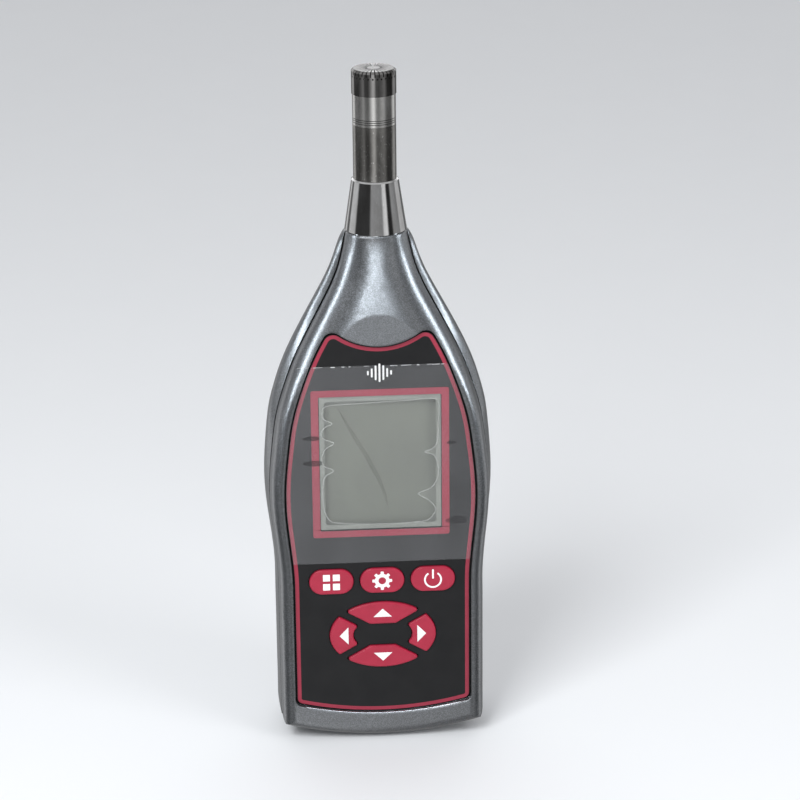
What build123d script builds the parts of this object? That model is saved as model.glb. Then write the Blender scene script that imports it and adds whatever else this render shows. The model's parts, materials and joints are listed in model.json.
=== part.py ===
"""Hand-held sound level meter with a half-inch microphone on a conical neck.

Millimetres. +Z points up along the meter to the microphone, and -Y is the side of the display.
The origin is under the middle of the casing, at the height of its lowest point.
Heights are measured up from that point.
"""

import os
from functools import cache
from math import cos, pi, radians, sin, sqrt

from build123d import *

# Casing, overall
foot_half_width = 31.4  # half-width of the straight lower casing, at the parting line
body_half_width = 33.4  # half-width at the widest place
waist_height = 52.2  # where the straight lower casing ends
widest_height = 80.2
neck_height = 162.1  # where the casing ends under the collar
neck_radius = 9.25
front_depth = 9.5  # parting plane to front plane
rear_depth = 22.5  # parting plane to back plane
wall = 2.2
bottom_radius = 113.0  # curve of the lower end, seen from the front
bottom_corner = 5.0

# Shoulder curve: share of the height from the widest place to the neck, share of the width lost
shoulder_curve = ((0.27, 0.085), (0.50, 0.311), (0.69, 0.626), (0.845, 0.872))

# Front shell cross-section
rim_corner = 5.0  # how far the rounding of the rim reaches in from the side
rim_power = 2.4
crown = 0.75  # how far the neck's crown would pass the front plane, which cuts it to a flat facet
crown_power = 2.8
crown_height = 131.2
flat_top_height = 114.2  # the front is flat between its rims up to here
facet_height = 138.8  # top of the flat facet

# Rear shell cross-section
back_corner = 12.0
back_power = 2.6
side_bulge = 2.9  # how far the shoulder swells past the parting line
side_bulge_height = 139.0
neck_bulge = 2.2  # swelling left just under the neck
neck_bulge_below = 9.0  # how far under the neck that is
foot_bulge = 0.8
bulge_depth = 10.0  # how far behind the parting line the lower casing is widest
back_edge_radius = 6.0
back_full_height = 100.0  # the back is at its full depth up to here
seam_gap = 0.5
tongue_length = 1.0
seam_clearance = 0.08

# Microphone and neck fittings, round about one axis
mic_behind_parting = 2.0
collar_top_radius = 6.95
collar_length = 15.7
collar_chamfer = 0.4
collar_groove = 0.3
shank_radius = 6.9
shank_length = 12.0
fit_clearance = 0.05
tube_radius = 6.4
tube_wall = 1.0
tube_top_height = 194.2
cartridge_radius = 6.4
cartridge_wall = 0.7
grid_radius = 6.6
grid_height = 7.4
grid_wall = 0.5
grid_slots = 32
grid_slot_width = 0.32
grid_slot_start = 0.3  # where the slots begin, as a share of the grid's radius
grid_hole_radius = 0.25
overall_length = 210.7
spigot_length = 4.0
diaphragm_radius = 5.0
diaphragm_thickness = 0.12
backplate_radius = 3.6
pin_radius = 0.9
seal_section = 1.2

# Panel in its recess
rim_width = 4.2
bottom_rim = 9.1
recess_depth = 1.8
dip_height = 129.0
dip_radius = 20.2
peak_radius = 3.3
panel_corner = 2.2
overlay_gap = 0.6
overlay_thickness = 0.6
floor_thickness = 1.8
floor_margin = 1.5

# Display
window_width = 36.9
window_height = 43.1
window_centre = 91.6
window_thickness = 0.6
window_ledge = 1.0
window_clearance = 0.1
display_margin = 3.2
cell_thickness = 2.2
reflector_thickness = 1.6
film_top = 122.8
film_bottom = 59.5
film_thickness = 0.12

# Keys
key_length = 13.5
key_height = 8.0
key_pitch = 15.5
key_row_height = 53.5
pad_height = 35.5
pad_half_width = 16.3
pad_half_height = 10.8
pad_channel = 2.5
pad_channel_angle = 30.0
island_length = 18.1
island_height = 7.4
key_clearance = 0.25
key_proud = 0.8
key_flange = 0.7
key_flange_margin = 0.6
key_travel = 0.7
key_edge = 0.3
dome_gap = 0.15
mat_thickness = 0.8
mat_width = 42.0
mat_margin = 1.0
dome_radius = 1.8

# Main board
board_thickness = 1.6
board_behind_parting = 0.2
board_bottom = 19.0
board_top = 123.0
board_edge_gap = 1.2
chip_places = ((-15.0, 108.0, 7.0, 7.0), (14.0, 82.0, 9.0, 9.0), (-15.0, 80.0, 5.0, 6.0))
board_screw_radius = 1.0
board_screw_places = ((-19.0, 119.0), (19.0, 119.0), (-24.0, 25.0), (24.0, 25.0))
boss_radius = 2.6

# Shell screws
shell_screw_radius = 1.25
shell_screw_head = 2.5
post_radius = 4.0
shell_screw_places = ((-13.0, 131.0), (13.0, 131.0), (-24.5, 11.0), (24.5, 11.0))

# Battery compartment: four cells side by side
cell_count = 4
cell_radius = 5.2
cell_length = 44.5
cell_pitch = 11.2
cell_spring_room = 6.5
tray_wall = 1.2
tray_bottom = 16.0
tray_clearance = 0.4
cover_thickness = 2.0
cover_lip = 1.5
cover_gap = 0.15
cover_screw_radius = 1.4
cover_margin = 3.0  # how far the cover passes the tray above and below
cover_corner = 3.0
cover_screw_inset = 2.6
grip_count = 5
grip_pitch = 2.0
grip_length = 18.0
grip_width = 0.9
grip_depth = 0.5
grip_inset = 6.0

# Tripod socket, 1/4 inch thread
tripod_height = 86.0
tripod_hole_radius = 2.6
tripod_insert_radius = 5.0
tripod_insert_length = 9.0
tripod_hole_length = 8.0
tripod_boss_wall = 2.0

# Planes and heights that follow
front_y = -(front_depth + rear_depth) / 2
parting_y = front_y + front_depth
back_y = parting_y + rear_depth
mic_y = parting_y + mic_behind_parting
floor_y = front_y + recess_depth
floor_back_y = floor_y + floor_thickness
overlay_y = floor_y - overlay_thickness
board_y = parting_y + board_behind_parting
collar_top = neck_height + collar_length
grid_bottom = overall_length - grid_height
tray_inner_width = cell_count * cell_pitch
tray_inner_height = cell_length + cell_spring_room
tray_top = tray_bottom + tray_inner_height + 2 * tray_wall
tray_middle = (tray_bottom + tray_top) / 2
cover_width = tray_inner_width + 2 * tray_wall
cover_height = tray_top - tray_bottom + 2 * cover_margin
cover_bottom = tray_middle - cover_height / 2
cover_screw_height = cover_bottom + cover_height - cover_screw_inset
tray_back_y = back_y - cover_thickness - cover_gap
tray_front_y = tray_back_y - 2 * cell_radius - tray_wall - 0.6

FAR = 400.0
QUARTER_STEPS = 7
SECTIONS = 20
FLAT_ALLOWANCE = 0.15  # what the back is lofted too deep, to be cut to a true plane


def along(stations, height):
    """Value at a height on a smooth curve through (height, value) stations, flat at both ends."""
    if height <= stations[0][0]:
        return stations[0][1]
    if height >= stations[-1][0]:
        return stations[-1][1]
    rates = []
    for (h0, v0), (h1, v1) in zip(stations, stations[1:]):
        rates.append((v1 - v0) / (h1 - h0))
    slopes = [0.0]
    for before, after in zip(rates, rates[1:]):
        same_way = before * after > 0
        slopes.append(2 * before * after / (before + after) if same_way else 0.0)
    slopes.append(0.0)
    for i, ((h0, v0), (h1, v1)) in enumerate(zip(stations, stations[1:])):
        if height <= h1:
            span = h1 - h0
            t = (height - h0) / span
            start = v0 * (1 + 2 * t) * (1 - t) ** 2 + slopes[i] * span * t * (1 - t) ** 2
            end = v1 * t * t * (3 - 2 * t) - slopes[i + 1] * span * t * t * (1 - t)
            return start + end


def ease(t):
    """0 to 1, level at both ends."""
    t = min(max(t, 0.0), 1.0)
    return t * t * (3 - 2 * t)


neck_half_width = sqrt(neck_radius**2 - mic_behind_parting**2)
shoulder_stations = [
    (
        widest_height + share * (neck_height - widest_height),
        body_half_width - lost * (body_half_width - neck_half_width),
    )
    for share, lost in shoulder_curve
]
half_width_stations = [
    (waist_height, foot_half_width),
    (widest_height, body_half_width),
    *shoulder_stations,
    (neck_height, neck_half_width),
]
front_neck_depth = neck_radius - mic_behind_parting
rear_neck_depth = neck_radius + mic_behind_parting
front_depth_stations = [
    (flat_top_height, front_depth),
    (crown_height, front_depth + crown),
    (facet_height, front_depth),
    (neck_height, front_neck_depth),
]
front_power_stations = [
    (flat_top_height, rim_power),
    (crown_height, crown_power),
    (neck_height, 2.0),
]
rear_depth_stations = [
    (back_full_height, rear_depth),
    (back_full_height + 0.43 * (neck_height - back_full_height), 0.78 * rear_depth),
    (back_full_height + 0.80 * (neck_height - back_full_height), 0.57 * rear_depth),
    (neck_height, rear_neck_depth),
]
bulge_stations = [
    (waist_height, foot_bulge),
    (side_bulge_height, side_bulge),
    (neck_height - neck_bulge_below, neck_bulge),
    (neck_height, neck_radius - neck_half_width),
]


def half_width(height):
    return along(half_width_stations, height)


def front_corner(height):
    """How far the front's rounding reaches in from the side: the whole half at the neck."""
    blend = ease((height - flat_top_height) / (facet_height - 2.6 - flat_top_height))
    return rim_corner + blend * (0.97 * half_width(height) - rim_corner)


def rear_corner(height):
    blend = ease((height - widest_height) / (neck_height - 10.0 - widest_height))
    return back_corner + blend * (0.97 * half_width(height) - back_corner)


def closed_section(left, right, height):
    """Face at a height from its right-hand points, the mirrored left ones and two straight lines."""
    edges = [
        Spline(*right),
        Line(right[-1], left[-1]),
        Spline(*left),
        Line(left[0], right[0]),
    ]
    return Pos(0, 0, height) * make_face(edges)


def front_section(height, inset):
    """Cross-section of the front half at a height, smaller by the inset."""
    width = half_width(height) - inset
    depth = along(front_depth_stations, height) - inset
    corner = max(front_corner(height) - inset, 0.6 * rim_corner)
    corner = min(corner, 0.98 * width)
    power = along(front_power_stations, height)
    right = []
    for i in range(QUARTER_STEPS + 1):
        angle = i * pi / 2 / QUARTER_STEPS
        x = width - corner + corner * cos(angle) ** (2 / power)
        y = parting_y - depth * sin(angle) ** (2 / power)
        right.append((x, y))
    left = [(-x, y) for x, y in right]
    return closed_section(left, right, height)


def rear_section(height, inset):
    """Cross-section of the rear half: it swells a little, then rounds over to the back."""
    width = half_width(height) - inset
    depth = along(rear_depth_stations, height) - inset + FLAT_ALLOWANCE
    bulge = along(bulge_stations, height)
    rise = ease((height - waist_height) / (neck_height - waist_height))
    swell = bulge_depth + (mic_behind_parting - bulge_depth) * rise
    corner = max(rear_corner(height) - inset, 0.5 * back_corner)
    corner = min(corner, 0.98 * (width + bulge))
    power = back_power + (2.0 - back_power) * rise
    right = []
    for share in (0.0, 0.33, 0.67):
        x = width + bulge * sin(share * pi / 2)
        right.append((x, parting_y + swell * share))
    for i in range(QUARTER_STEPS + 1):
        angle = i * pi / 2 / QUARTER_STEPS
        x = width + bulge - corner + corner * cos(angle) ** (2 / power)
        y = parting_y + swell + (depth - swell) * sin(angle) ** (2 / power)
        right.append((x, y))
    left = [(-x, y) for x, y in right]
    return closed_section(left, right, height)


def lower_end(inset, edge_radius, power, y_edge):
    """Everything above the curved lower end, whose front or back edge is rounded over."""
    radius = bottom_radius - inset
    depth = abs(y_edge - parting_y) - inset
    way = 1 if y_edge > parting_y else -1
    profile = []
    for i in range(QUARTER_STEPS + 1):
        angle = i * pi / 2 / QUARTER_STEPS
        reach = radius - edge_radius + edge_radius * cos(angle) ** (2 / power)
        profile.append((reach, parting_y + way * depth * sin(angle) ** (2 / power)))
    edges = [
        Line((0, parting_y - way), (radius, parting_y - way)),
        Line((radius, parting_y - way), profile[0]),
        Spline(*profile),
        Line(profile[-1], (0, profile[-1][1])),
        Line((0, profile[-1][1]), (0, parting_y - way)),
    ]
    disc = revolve(make_face(edges), Axis.Y)
    upper = Pos(0, 0, bottom_radius + FAR / 2) * Box(FAR, FAR, FAR)
    return Pos(0, 0, bottom_radius) * disc + upper


def corner_cutters(side, inset):
    """What the two lower corners lose to their rounding, seen from the front."""
    corner = max(bottom_corner - inset, 0.3)
    x = side - corner
    height = bottom_radius - sqrt((bottom_radius - inset - corner) ** 2 - x**2)
    reach = bottom_radius - inset - corner
    out_x = x / reach
    out_height = (height - bottom_radius) / reach
    length = 3 * corner
    wedge = make_face(
        Polyline(
            (x, height),
            (x + length, height),
            (x + length, height - length),
            (x + length * out_x, height + length * out_height),
            (x, height),
        )
    )
    cutter = wedge - Pos(x, height) * Circle(corner)
    return slab(cutter, -FAR, FAR) + slab(mirror(cutter, Plane.YZ), -FAR, FAR)


@cache
def front_body(inset):
    """The front half of the casing as one solid, smaller by the inset."""
    end = lower_end(inset, rim_corner, rim_power, front_y - 0.02)
    body = loft([front_section(height, inset) for height in section_heights()]) & end
    return body - corner_cutters(foot_half_width - inset, inset)


@cache
def rear_body(inset):
    """The rear half of the casing as one solid, smaller by the inset, with a plane back."""
    end = lower_end(inset, back_edge_radius, back_power, back_y + FLAT_ALLOWANCE)
    body = loft([rear_section(height, inset) for height in section_heights()]) & end
    body = body - slab(Rectangle(FAR, 2 * FAR), back_y - inset, back_y + FAR)
    return body - corner_cutters(foot_half_width + foot_bulge - inset, inset)


def section_heights():
    """Even steps from just below the lower end to the neck."""
    start = -3.0
    return [start + (neck_height - start) * i / SECTIONS for i in range(SECTIONS + 1)]


def slab(face, y_from, y_to):
    """Solid between two planes across Y, from a face drawn in (x, height)."""
    return Pos(0, y_to, 0) * Rot(90, 0, 0) * extrude(face, y_to - y_from)


def outline_face(side_inset, bottom_inset, top, corner=0.0):
    """Front view of the casing at the parting line, inset at its sides and its curved lower end.

    The corner is the rounding of its two lower corners.
    """
    foot = foot_half_width - side_inset
    radius = bottom_radius - bottom_inset
    corner_height = bottom_radius - sqrt(radius**2 - foot**2)
    steps = 12
    right = []
    for i in range(steps + 1):
        height = waist_height + (top - waist_height) * i / steps
        right.append((half_width(height) - side_inset, height))
    left = [(-x, height) for x, height in right]
    edges = [
        Line((foot, corner_height), right[0]),
        Spline(*right),
        Line(right[-1], left[-1]),
        Spline(*left),
        Line(left[0], (-foot, corner_height)),
        ThreePointArc((-foot, corner_height), (0, bottom_inset), (foot, corner_height)),
    ]
    face = make_face(edges)
    if corner > 0:
        face = fillet(face.vertices().sort_by(Axis.Y)[:2], corner)
    return face


def inset_outline(inset, top):
    """The casing's outline, inset all round, with its lower corners rounded to match."""
    return outline_face(inset, inset, top, max(bottom_corner - inset, 0.3))


def panel_face(inset):
    """The recess's outline with its two rounded peaks and the dip between them."""
    face = outline_face(rim_width + inset, bottom_rim + inset, facet_height + 2.0)
    dip_centre = dip_height + dip_radius
    face = face - Pos(0, dip_centre) * Circle(dip_radius + inset)
    by_height = face.vertices().sort_by(Axis.Y)
    face = fillet(by_height[-2:], peak_radius - 0.5 * inset)
    by_height = face.vertices().sort_by(Axis.Y)
    return fillet(by_height[:2], panel_corner - 0.5 * inset)


def stadium(length, height):
    return SlotOverall(length, height)


def rounded_box_face(width, height, radius):
    return RectangleRounded(width, height, radius)


def pad_face(side, grow):
    """One key of the direction pad, side 0 right, 1 up, 2 left, 3 down, grown by a clearance."""
    face = Ellipse(pad_half_width + grow, pad_half_height + grow)
    face = face - stadium(island_length - 2 * grow, island_height - 2 * grow)
    for sign in (-1, 1):
        face = face - Rot(0, 0, sign * pad_channel_angle) * Rectangle(FAR, pad_channel - 2 * grow)
    key = {
        0: face.faces().sort_by(Axis.X)[-1],
        1: face.faces().sort_by(Axis.Y)[-1],
        2: face.faces().sort_by(Axis.X)[0],
        3: face.faces().sort_by(Axis.Y)[0],
    }[side]
    rounded = Sketch() + key
    return Pos(0, pad_height) * fillet(rounded.vertices(), 0.6)


def key_faces(grow):
    """Front outlines of the seven keys, grown by a clearance."""
    faces = {}
    for i, name in enumerate(("menu_key", "setup_key", "power_key")):
        place = Pos((i - 1) * key_pitch, key_row_height)
        faces[name] = place * stadium(key_length + 2 * grow, key_height + 2 * grow)
    for side, name in enumerate(("right_key", "up_key", "left_key", "down_key")):
        faces[name] = pad_face(side, grow)
    return faces


def post(x, height, radius, y_from, y_to):
    """Round post or hole across the casing."""
    return slab(Pos(x, height) * Circle(radius), y_from, y_to)


def ring(outer, inner, bottom, top):
    """Tube about the microphone's axis."""
    body = Cylinder(outer, top - bottom, align=(Align.CENTER, Align.CENTER, Align.MIN))
    if inner > 0:
        body = body - Cylinder(inner, top - bottom, align=(Align.CENTER, Align.CENTER, Align.MIN))
    return Pos(0, mic_y, bottom) * body


# The neck holds the collar's shank, the seal and the foot of the tube
shank_bottom = neck_height - shank_length
neck_bore = ring(shank_radius + fit_clearance, 0, shank_bottom - 1.0, neck_height + 1.0)


def seam_rebate():
    """Step in the front shell's wall along the parting line, for the rear shell's tongue."""
    top = shank_bottom - 2.0
    outer = inset_outline(0.5 * wall, top)
    inner = inset_outline(wall + 0.5, top + 1.0)
    front_end = parting_y - seam_gap / 2 - tongue_length
    return slab(outer - inner, front_end, parting_y + seam_gap)


def front_shell():
    shell = front_body(0) - front_body(wall)
    body = front_body(0)
    floor = slab(panel_face(-floor_margin), front_y - 1.0, floor_back_y)
    shell = shell + (floor & body)
    posts = Part()
    for x, height in board_screw_places:
        posts = posts + post(x, height, boss_radius, floor_back_y - 0.5, board_y)
    for x, height in shell_screw_places:
        posts = posts + post(x, height, post_radius - 0.6, front_y + 2.0, parting_y - seam_gap / 2)
    shell = shell + (posts & front_body(0.5 * wall))
    shell = shell - slab(Rectangle(FAR, 2 * FAR), front_y - FAR, front_y)
    shell = shell - slab(Rectangle(FAR, 2 * FAR), parting_y - seam_gap / 2, parting_y + FAR)
    shell = shell - slab(panel_face(0), front_y - 5.0, floor_y)
    window_hole = Rectangle(window_width - 2 * window_ledge, window_height - 2 * window_ledge)
    shell = shell - slab(Pos(0, window_centre) * window_hole, floor_y - 1.0, floor_back_y + 1.0)
    for face in key_faces(key_clearance).values():
        shell = shell - slab(face, floor_y - 1.0, floor_back_y + 1.0)
    for x, height in board_screw_places:
        shell = shell - post(x, height, board_screw_radius - 0.15, floor_back_y + 0.5, board_y + 1.0)
    for x, height in shell_screw_places:
        shell = shell - post(x, height, shell_screw_radius - 0.15, front_y + 4.0, parting_y + 1.0)
    shell = shell - seam_rebate()
    return shell - neck_bore


def battery_opening(grow):
    face = rounded_box_face(cover_width + 2 * grow, cover_height + 2 * grow, cover_corner)
    return Pos(0, tray_middle) * face


def rear_shell():
    body = rear_body(0)
    shell = body - rear_body(wall)
    tripod_radius = tripod_insert_radius + tripod_boss_wall
    posts = post(0, tripod_height, tripod_radius, back_y - tripod_insert_length - 2.0, back_y - 0.5 * wall)
    for x, height in shell_screw_places:
        posts = posts + post(x, height, post_radius, parting_y + seam_gap / 2, back_y)
    ledge = slab(battery_opening(cover_lip + 1.0), tray_back_y - 1.2, back_y - 0.5)
    shell = shell + ((posts + ledge) & rear_body(0.5 * wall))
    shell = shell - slab(battery_opening(cover_gap), tray_back_y, back_y + 5.0)
    tray_hole = Rectangle(cover_width + tray_clearance, tray_top - tray_bottom + tray_clearance)
    shell = shell - slab(Pos(0, tray_middle) * tray_hole, tray_back_y - 5.0, back_y + 5.0)
    shell = shell - post(0, tripod_height, tripod_insert_radius, back_y - tripod_insert_length, back_y + 5.0)
    for x, height in shell_screw_places:
        shell = shell - post(x, height, shell_screw_radius + 0.2, parting_y - 1.0, back_y + 5.0)
        shell = shell - post(x, height, shell_screw_head + 0.2, parting_y + 4.0, back_y + 5.0)
    shell = shell - slab(Rectangle(FAR, 2 * FAR), parting_y - FAR, parting_y + seam_gap / 2)
    shell = shell + seam_tongue()
    return shell - neck_bore


def seam_tongue():
    """Tongue of the rear shell that locates the two halves."""
    top = shank_bottom - 2.5
    outer = inset_outline(0.5 * wall + seam_clearance, top)
    inner = inset_outline(wall, top + 1.0)
    return slab(outer - inner, parting_y - seam_gap / 2 - tongue_length, parting_y + seam_gap)


def neck_collar():
    """Cone over the neck with a shank inside it, bored for the tube and grooved for the seal."""
    cone = Pos(0, mic_y, neck_height + collar_groove) * Cone(
        neck_radius,
        collar_top_radius,
        collar_length - collar_groove,
        align=(Align.CENTER, Align.CENTER, Align.MIN),
    )
    cone = chamfer(cone.edges().group_by(Axis.Z)[-1], collar_chamfer)
    collar = cone + ring(neck_radius - 0.4, 0, neck_height, neck_height + 1.0)
    collar = collar + ring(shank_radius, 0, shank_bottom, neck_height + 1.0)
    collar = collar - ring(tube_radius + fit_clearance, 0, shank_bottom - 1.0, collar_top + 1.0)
    return collar


def preamp_tube():
    tube = ring(tube_radius, tube_radius - tube_wall, shank_bottom - 3.0, tube_top_height)
    spigot_radius = cartridge_radius - cartridge_wall - fit_clearance
    tube = tube + ring(tube_radius, spigot_radius - tube_wall, tube_top_height - 2.0, tube_top_height)
    spigot_top = tube_top_height + spigot_length
    return tube + ring(spigot_radius, spigot_radius - tube_wall, tube_top_height - 2.0, spigot_top)


def preamp_board():
    width = 2 * (tube_radius - tube_wall) - 1.4
    board = Box(width, 1.0, 34.0, align=(Align.CENTER, Align.CENTER, Align.MIN))
    return Pos(0, mic_y, shank_bottom + 4.0) * board


def preamp_socket():
    """Connector block in the foot of the tube, with its contact pins below."""
    block = ring(tube_radius - tube_wall - 0.05, 0, shank_bottom - 3.0, shank_bottom + 3.0)
    pins = Part()
    for i in range(5):
        angle = radians(72 * i)
        place = Pos(2.6 * cos(angle), mic_y + 2.6 * sin(angle), shank_bottom - 6.0)
        pins = pins + place * Cylinder(0.45, 4.0, align=(Align.CENTER, Align.CENTER, Align.MIN))
    return block + pins


def mic_cartridge():
    body = ring(cartridge_radius, cartridge_radius - cartridge_wall, tube_top_height, grid_bottom)
    neck_outer = grid_radius - grid_wall - fit_clearance
    neck = ring(neck_outer, diaphragm_radius, grid_bottom - 0.5, grid_bottom + 2.0)
    cartridge = body + neck
    for i in range(3):
        groove = ring(cartridge_radius + 1.0, cartridge_radius - 0.12, 0, 0.18)
        cartridge = cartridge - Pos(0, 0, tube_top_height + 0.7 + 0.6 * i) * groove
    return cartridge


def mic_grid():
    """Cap with radial slots that run over its edge, and a ring of small holes below them."""
    cap = ring(grid_radius, 0, grid_bottom, overall_length)
    cap = chamfer(cap.edges().group_by(Axis.Z)[-1], 0.7)
    cap = cap - ring(grid_radius - grid_wall, 0, grid_bottom - 1.0, overall_length - 0.7)
    slot = Box(grid_radius, grid_slot_width, 2.4, align=(Align.MIN, Align.CENTER, Align.MIN))
    for i in range(grid_slots):
        turn = Pos(0, mic_y, 0) * Rot(0, 0, 360 * i / grid_slots)
        cap = cap - turn * Pos(grid_slot_start * grid_radius, 0, overall_length - 1.5) * slot
        half_turn = turn * Rot(0, 0, 180 / grid_slots)
        hole = Rot(0, 90, 0) * Cylinder(grid_hole_radius, 3.0)
        cap = cap - half_turn * Pos(grid_radius, 0, overall_length - 2.1) * hole
    return cap


def mic_diaphragm():
    height = grid_bottom + 2.0
    return ring(diaphragm_radius + 0.3, 0, height, height + diaphragm_thickness)


def mic_backplate():
    height = grid_bottom + 2.0
    plate = ring(backplate_radius, 0, height - 1.5, height - 0.1)
    for i in range(6):
        angle = radians(60 * i)
        plate = plate - Pos(2.2 * cos(angle), 2.2 * sin(angle), 0) * ring(0.4, 0, height - 2.0, height)
    return plate


def mic_insulator():
    height = grid_bottom + 0.5
    return ring(diaphragm_radius, pin_radius, height - 1.5, height)


def contact_pin():
    bottom = tube_top_height + 1.5
    return ring(pin_radius, 0, bottom, grid_bottom + 0.5)


def tube_seal():
    """O-ring between the tube's foot and the neck, under the collar's shank."""
    path_radius = tube_radius + 0.5 * seal_section + 0.02
    return Pos(0, mic_y, shank_bottom - 0.5 * seal_section - 0.05) * Torus(path_radius, 0.5 * seal_section)


def panel_overlay():
    """Flat sheet in the recess with openings for the window and the keys."""
    sheet = slab(panel_face(overlay_gap), overlay_y, floor_y)
    opening = Pos(0, window_centre) * Rectangle(window_width, window_height)
    sheet = sheet - slab(opening, overlay_y - 1.0, floor_y + 1.0)
    for face in key_faces(key_clearance).values():
        sheet = sheet - slab(face, overlay_y - 1.0, floor_y + 1.0)
    return sheet


def display_window():
    width = window_width - 2 * window_clearance
    height = window_height - 2 * window_clearance
    return slab(Pos(0, window_centre) * Rectangle(width, height), floor_y - window_thickness, floor_y)


def protective_film():
    """Thin sheet on the overlay and the window, across the upper part of the panel."""
    middle = (film_top + film_bottom) / 2
    band = Pos(0, middle) * Rectangle(FAR, film_top - film_bottom)
    return slab(panel_face(overlay_gap) & band, overlay_y - film_thickness, overlay_y)


def display_part(margin, y_from, y_to):
    width = window_width + 2 * margin
    height = window_height + 2 * margin
    return slab(Pos(0, window_centre) * Rectangle(width, height), y_from, y_to)


cell_y = floor_back_y + 0.2
reflector_y = cell_y + cell_thickness
holder_back_y = board_y


def lcd_cell():
    return display_part(1.6, cell_y, reflector_y)


def lcd_reflector():
    return display_part(1.6, reflector_y, reflector_y + reflector_thickness)


def lcd_holder():
    """Frame that carries the display above the board."""
    frame = display_part(display_margin, cell_y, holder_back_y)
    return frame - display_part(1.6, cell_y - 1.0, holder_back_y + 1.0)


def zebra_strips():
    """Two elastomer strips between the reflector's back and the board."""
    strips = Part()
    for side in (-1, 1):
        place = Pos(0, window_centre + side * 0.42 * window_height)
        face = place * Rectangle(0.9 * window_width, 2.0)
        strips = strips + slab(face, reflector_y + reflector_thickness, board_y)
    return strips


key_top_y = overlay_y - key_proud


def key_solid(name):
    """Key with a flange behind the shell's floor, which stops it."""
    cap = slab(key_faces(0.0)[name], key_top_y, floor_back_y + key_flange)
    cap = fillet(cap.faces().sort_by(Axis.Y)[0].edges(), key_edge)
    flange = slab(key_faces(key_clearance + key_flange_margin)[name], floor_back_y, floor_back_y + key_flange)
    return cap + flange


mat_back_y = board_y
dome_top_y = floor_back_y + key_flange + key_travel + dome_gap
mat_front_y = mat_back_y - mat_thickness


def key_mat():
    """Silicone sheet on the board with a dome under each key."""
    middle = 0.5 * (pad_height - pad_half_height + key_row_height + key_height / 2)
    height = key_row_height + key_height / 2 - (pad_height - pad_half_height) + 2 * mat_margin
    sheet = slab(Pos(0, middle) * rounded_box_face(mat_width, height, 2.0), mat_front_y, mat_back_y)
    for name, face in key_faces(0.0).items():
        centre = face.center()
        dome = post(centre.X, centre.Y, dome_radius, dome_top_y, mat_front_y + 0.2)
        sheet = sheet + dome
    return sheet


def main_board():
    face = outline_face(wall + board_edge_gap, wall + board_edge_gap, board_top)
    face = face & Pos(0, (board_bottom + board_top) / 2) * Rectangle(FAR, board_top - board_bottom)
    board = slab(face, board_y, board_y + board_thickness)
    for x, height in board_screw_places:
        board = board - post(x, height, board_screw_radius + 0.1, board_y - 1.0, board_y + 3.0)
    for x, height in shell_screw_places:
        board = board - post(x, height, post_radius + 0.5, board_y - 1.0, board_y + 3.0)
    return board


board_back_y = board_y + board_thickness


def board_chips():
    """Integrated circuits on the back of the board."""
    chips = Part()
    for x, height, width, length in chip_places:
        chips = chips + slab(Pos(x, height) * Rectangle(width, length), board_back_y, board_back_y + 1.2)
    return chips


def chip_shield():
    """Metal can over the input stage."""
    place = Pos(6.0, 108.0)
    can = slab(place * rounded_box_face(18.0, 14.0, 1.0), board_back_y, board_back_y + 3.0)
    return can - slab(place * rounded_box_face(17.4, 13.4, 0.7), board_back_y - 1.0, board_back_y + 2.7)


def board_screws():
    screws = Part()
    for x, height in board_screw_places:
        shank = post(x, height, board_screw_radius - 0.15, board_y - 4.0, board_back_y + 0.5)
        head = post(x, height, 2.0, board_back_y, board_back_y + 1.4)
        drive = Pos(x, height) * (Rectangle(2.2, 0.5) + Rectangle(0.5, 2.2))
        screws = screws + (shank + head - slab(drive, board_back_y + 0.7, board_back_y + 2.0))
    return screws


def shell_screws():
    """Four long screws from the back, in the rear shell's counterbores."""
    screws = Part()
    seat_y = parting_y + 4.0
    for x, height in shell_screw_places:
        shank = post(x, height, shell_screw_radius - 0.15, parting_y - 4.0, seat_y + 0.5)
        head = post(x, height, shell_screw_head, seat_y, seat_y + 2.0)
        drive = Pos(x, height) * (Rectangle(3.0, 0.7) + Rectangle(0.7, 3.0))
        screws = screws + (shank + head - slab(drive, seat_y + 1.0, seat_y + 3.0))
    return screws


def cell_places():
    first = -(cell_count - 1) / 2 * cell_pitch
    return [first + i * cell_pitch for i in range(cell_count)]


cells_y = tray_back_y - cell_radius - 0.3
cell_bottom = tray_bottom + tray_wall + cell_spring_room - 1.0


def battery_tray():
    """Open box behind the board, with a seat for each cell."""
    middle = Pos(0, tray_middle)
    outer = middle * Rectangle(tray_inner_width + 2 * tray_wall, tray_top - tray_bottom)
    inner = middle * Rectangle(tray_inner_width, tray_inner_height)
    return slab(outer, tray_front_y, tray_back_y) - slab(inner, tray_front_y + tray_wall, tray_back_y + 1.0)


def battery_cells():
    cells = Part()
    for i, x in enumerate(cell_places()):
        can = Cylinder(cell_radius, cell_length - 1.2, align=(Align.CENTER, Align.CENTER, Align.MIN))
        knob = Cylinder(1.8, 1.2, align=(Align.CENTER, Align.CENTER, Align.MIN))
        cell = can + Pos(0, 0, cell_length - 1.2) * knob
        if i % 2:
            cell = Pos(0, 0, cell_length) * Rot(180, 0, 0) * cell
        spring_down = cell_spring_room - 1.0 if i % 2 == 0 else 1.0
        cells = cells + Pos(x, cells_y, tray_bottom + tray_wall + spring_down) * cell
    return cells


def battery_contacts():
    """Flat plate at the knob end of each cell."""
    plates = Part()
    for i, x in enumerate(cell_places()):
        bottom = tray_top - tray_wall - 0.4 if i % 2 == 0 else tray_bottom + tray_wall
        plate = Box(8.0, 7.0, 0.4, align=(Align.CENTER, Align.CENTER, Align.MIN))
        plates = plates + Pos(x, cells_y, bottom) * plate
    return plates


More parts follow.
